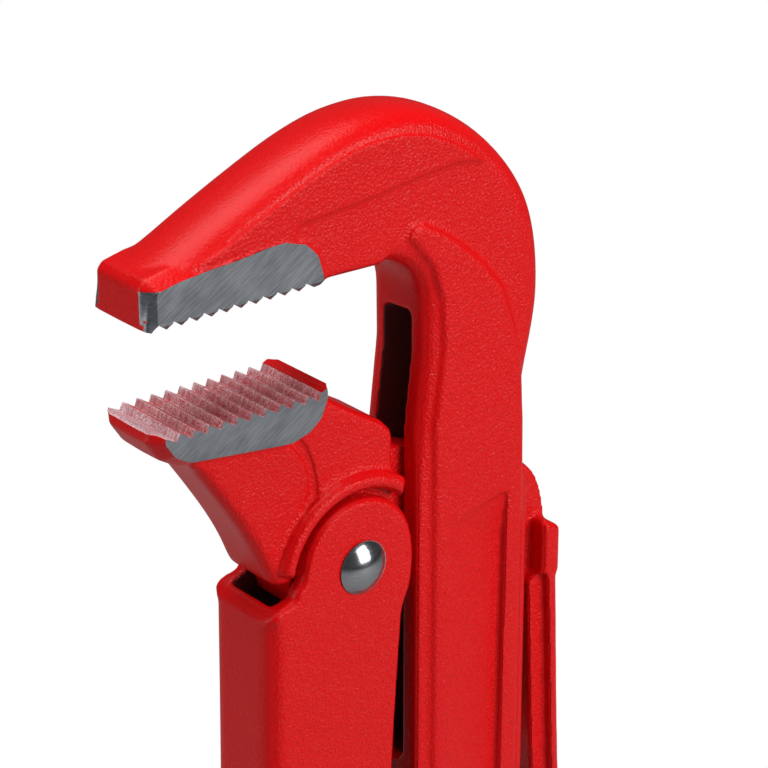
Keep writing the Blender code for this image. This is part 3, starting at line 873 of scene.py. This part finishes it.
def make_nut():
    """Fluted ring: every other group of rim points pushed in, pulled up, rims chamfered, bored."""
    clear_bench()
    bpy.ops.mesh.primitive_circle_add(vertices=180, radius=(NUT_R - 1.1) * MM,
                                      location=place(SCREW_X, 0, NUT_BASE))
    nut = bpy.context.object
    nut.name = "nut_knurled"
    settle(nut)
    centre = place(SCREW_X, 0, NUT_BASE)
    bpy.ops.object.mode_set(mode="EDIT")
    bpy.ops.mesh.select_mode(type="VERT")
    bpy.ops.mesh.select_all(action="SELECT")
    bpy.ops.mesh.edge_face_add()
    bpy.ops.mesh.extrude_region_move(TRANSFORM_OT_translate={"value": (0, 0, 1.1 * MM)})
    wide = NUT_R / (NUT_R - 1.1)
    bpy.ops.transform.resize(value=(wide, wide, 1), center_override=centre)
    bpy.ops.mesh.extrude_region_move(
        TRANSFORM_OT_translate={"value": (0, 0, (NUT_TOP - NUT_BASE - 2.2) * MM)})
    bpy.ops.mesh.extrude_region_move(TRANSFORM_OT_translate={"value": (0, 0, 1.1 * MM)})
    bpy.ops.transform.resize(value=(1 / wide, 1 / wide, 1), center_override=centre)
    bpy.ops.mesh.select_all(action="DESELECT")
    bpy.ops.object.mode_set(mode="OBJECT")
    for vert in nut.data.vertices:
        offset = vert.co - centre
        around = round(Vector((offset.x, offset.y)).angle_signed(Vector((1, 0)), 0) * 90 / pi)
        rim = hypot(offset.x, offset.y) > (NUT_R - 0.2) * MM
        vert.select = rim and around % 6 in (3, 4, 5)
    bpy.ops.object.mode_set(mode="EDIT")
    bpy.ops.transform.resize(value=(0.95, 0.95, 1), center_override=centre)
    bpy.ops.object.mode_set(mode="OBJECT")
    clear_bench()
    bpy.ops.mesh.primitive_cylinder_add(vertices=90, radius=NUT_BORE_R * MM, depth=0.06,
                                        location=centre)
    bore = bpy.context.object
    settle(bore)
    face_out(nut)
    cut(nut, bore)
    crisp(nut, 25)
    nut.data.materials.clear()
    nut.data.materials.append(milled_steel("nut_steel", 0.0))
    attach(nut, "nut")
    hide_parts("adjusting_nut")
    return nut


# ---------------------------------------------------------------- light and camera

def softbox(name, spot, aim, width, height, power, colour=(1, 1, 1)):
    clear_bench()
    bpy.ops.object.light_add(type="AREA", location=spot)
    lamp = bpy.context.object
    lamp.name = name
    lamp.data.shape = "RECTANGLE"
    lamp.data.size = width
    lamp.data.size_y = height
    lamp.data.energy = power
    lamp.data.color = colour
    lamp.rotation_euler = (Vector(aim) - Vector(spot)).to_track_quat("-Z", "Y").to_euler()


def make_studio():
    clear_bench()
    bpy.ops.mesh.primitive_plane_add(size=6, location=(0, 0, 0))
    floor = bpy.context.object
    floor.name = "floor"
    mat = bpy.data.materials.new("pale_floor")
    mat.use_nodes = True
    tree = mat.node_tree
    shader = tree.nodes["Principled BSDF"]
    shader.inputs["Base Color"].default_value = (0.35, 0.35, 0.35, 1)
    shader.inputs["Roughness"].default_value = 0.9
    glow = tree.nodes.new("ShaderNodeEmission")
    glow.inputs["Strength"].default_value = 1.0
    path = tree.nodes.new("ShaderNodeLightPath")
    choice = tree.nodes.new("ShaderNodeMixShader")
    tree.links.new(path.outputs["Is Camera Ray"], choice.inputs["Fac"])
    tree.links.new(shader.outputs["BSDF"], choice.inputs[1])
    tree.links.new(glow.outputs["Emission"], choice.inputs[2])
    tree.links.new(choice.outputs["Shader"], tree.nodes["Material Output"].inputs["Surface"])
    floor.data.materials.append(mat)
    world = bpy.data.worlds.new("studio")
    bpy.context.scene.world = world
    world.use_nodes = True
    world.node_tree.nodes["Background"].inputs["Color"].default_value = (1, 1, 1, 1)
    world.node_tree.nodes["Background"].inputs["Strength"].default_value = 0.09
    head = place(0, 0, 30)
    softbox("key", head + Vector((0.32, -0.8, 0.3)), head, 0.5, 0.6, 8.8)
    softbox("top", head + Vector((-0.15, 0.1, 0.85)), head, 0.8, 0.8, 8.4)
    softbox("left", head + Vector((-0.75, 0.25, 0.0)), head, 0.3, 0.9, 2.4)


def make_camera():
    """A long lens from the jaw side, looking down on the head."""
    azimuth = radians(-39.0)
    height = radians(23.2)
    distance = 0.49286
    back = Vector((sin(azimuth) * cos(height), -cos(azimuth) * cos(height), sin(height)))
    target = place(12.15, 0, 29.14)
    clear_bench()
    bpy.ops.object.camera_add(location=target + back * distance)
    camera = bpy.context.object
    camera.name = "camera"
    camera.rotation_euler = (-back).to_track_quat("-Z", "Y").to_euler()
    camera.data.lens = 129.4
    camera.data.sensor_width = 36.0
    camera.data.clip_start = 0.01
    bpy.context.scene.camera = camera


bpy.context.scene.view_settings.view_transform = "Standard"
make_hook()
make_lower_jaw()
make_front_leg()
make_rear_leg()
make_rivet()
make_nut()
make_studio()
make_camera()
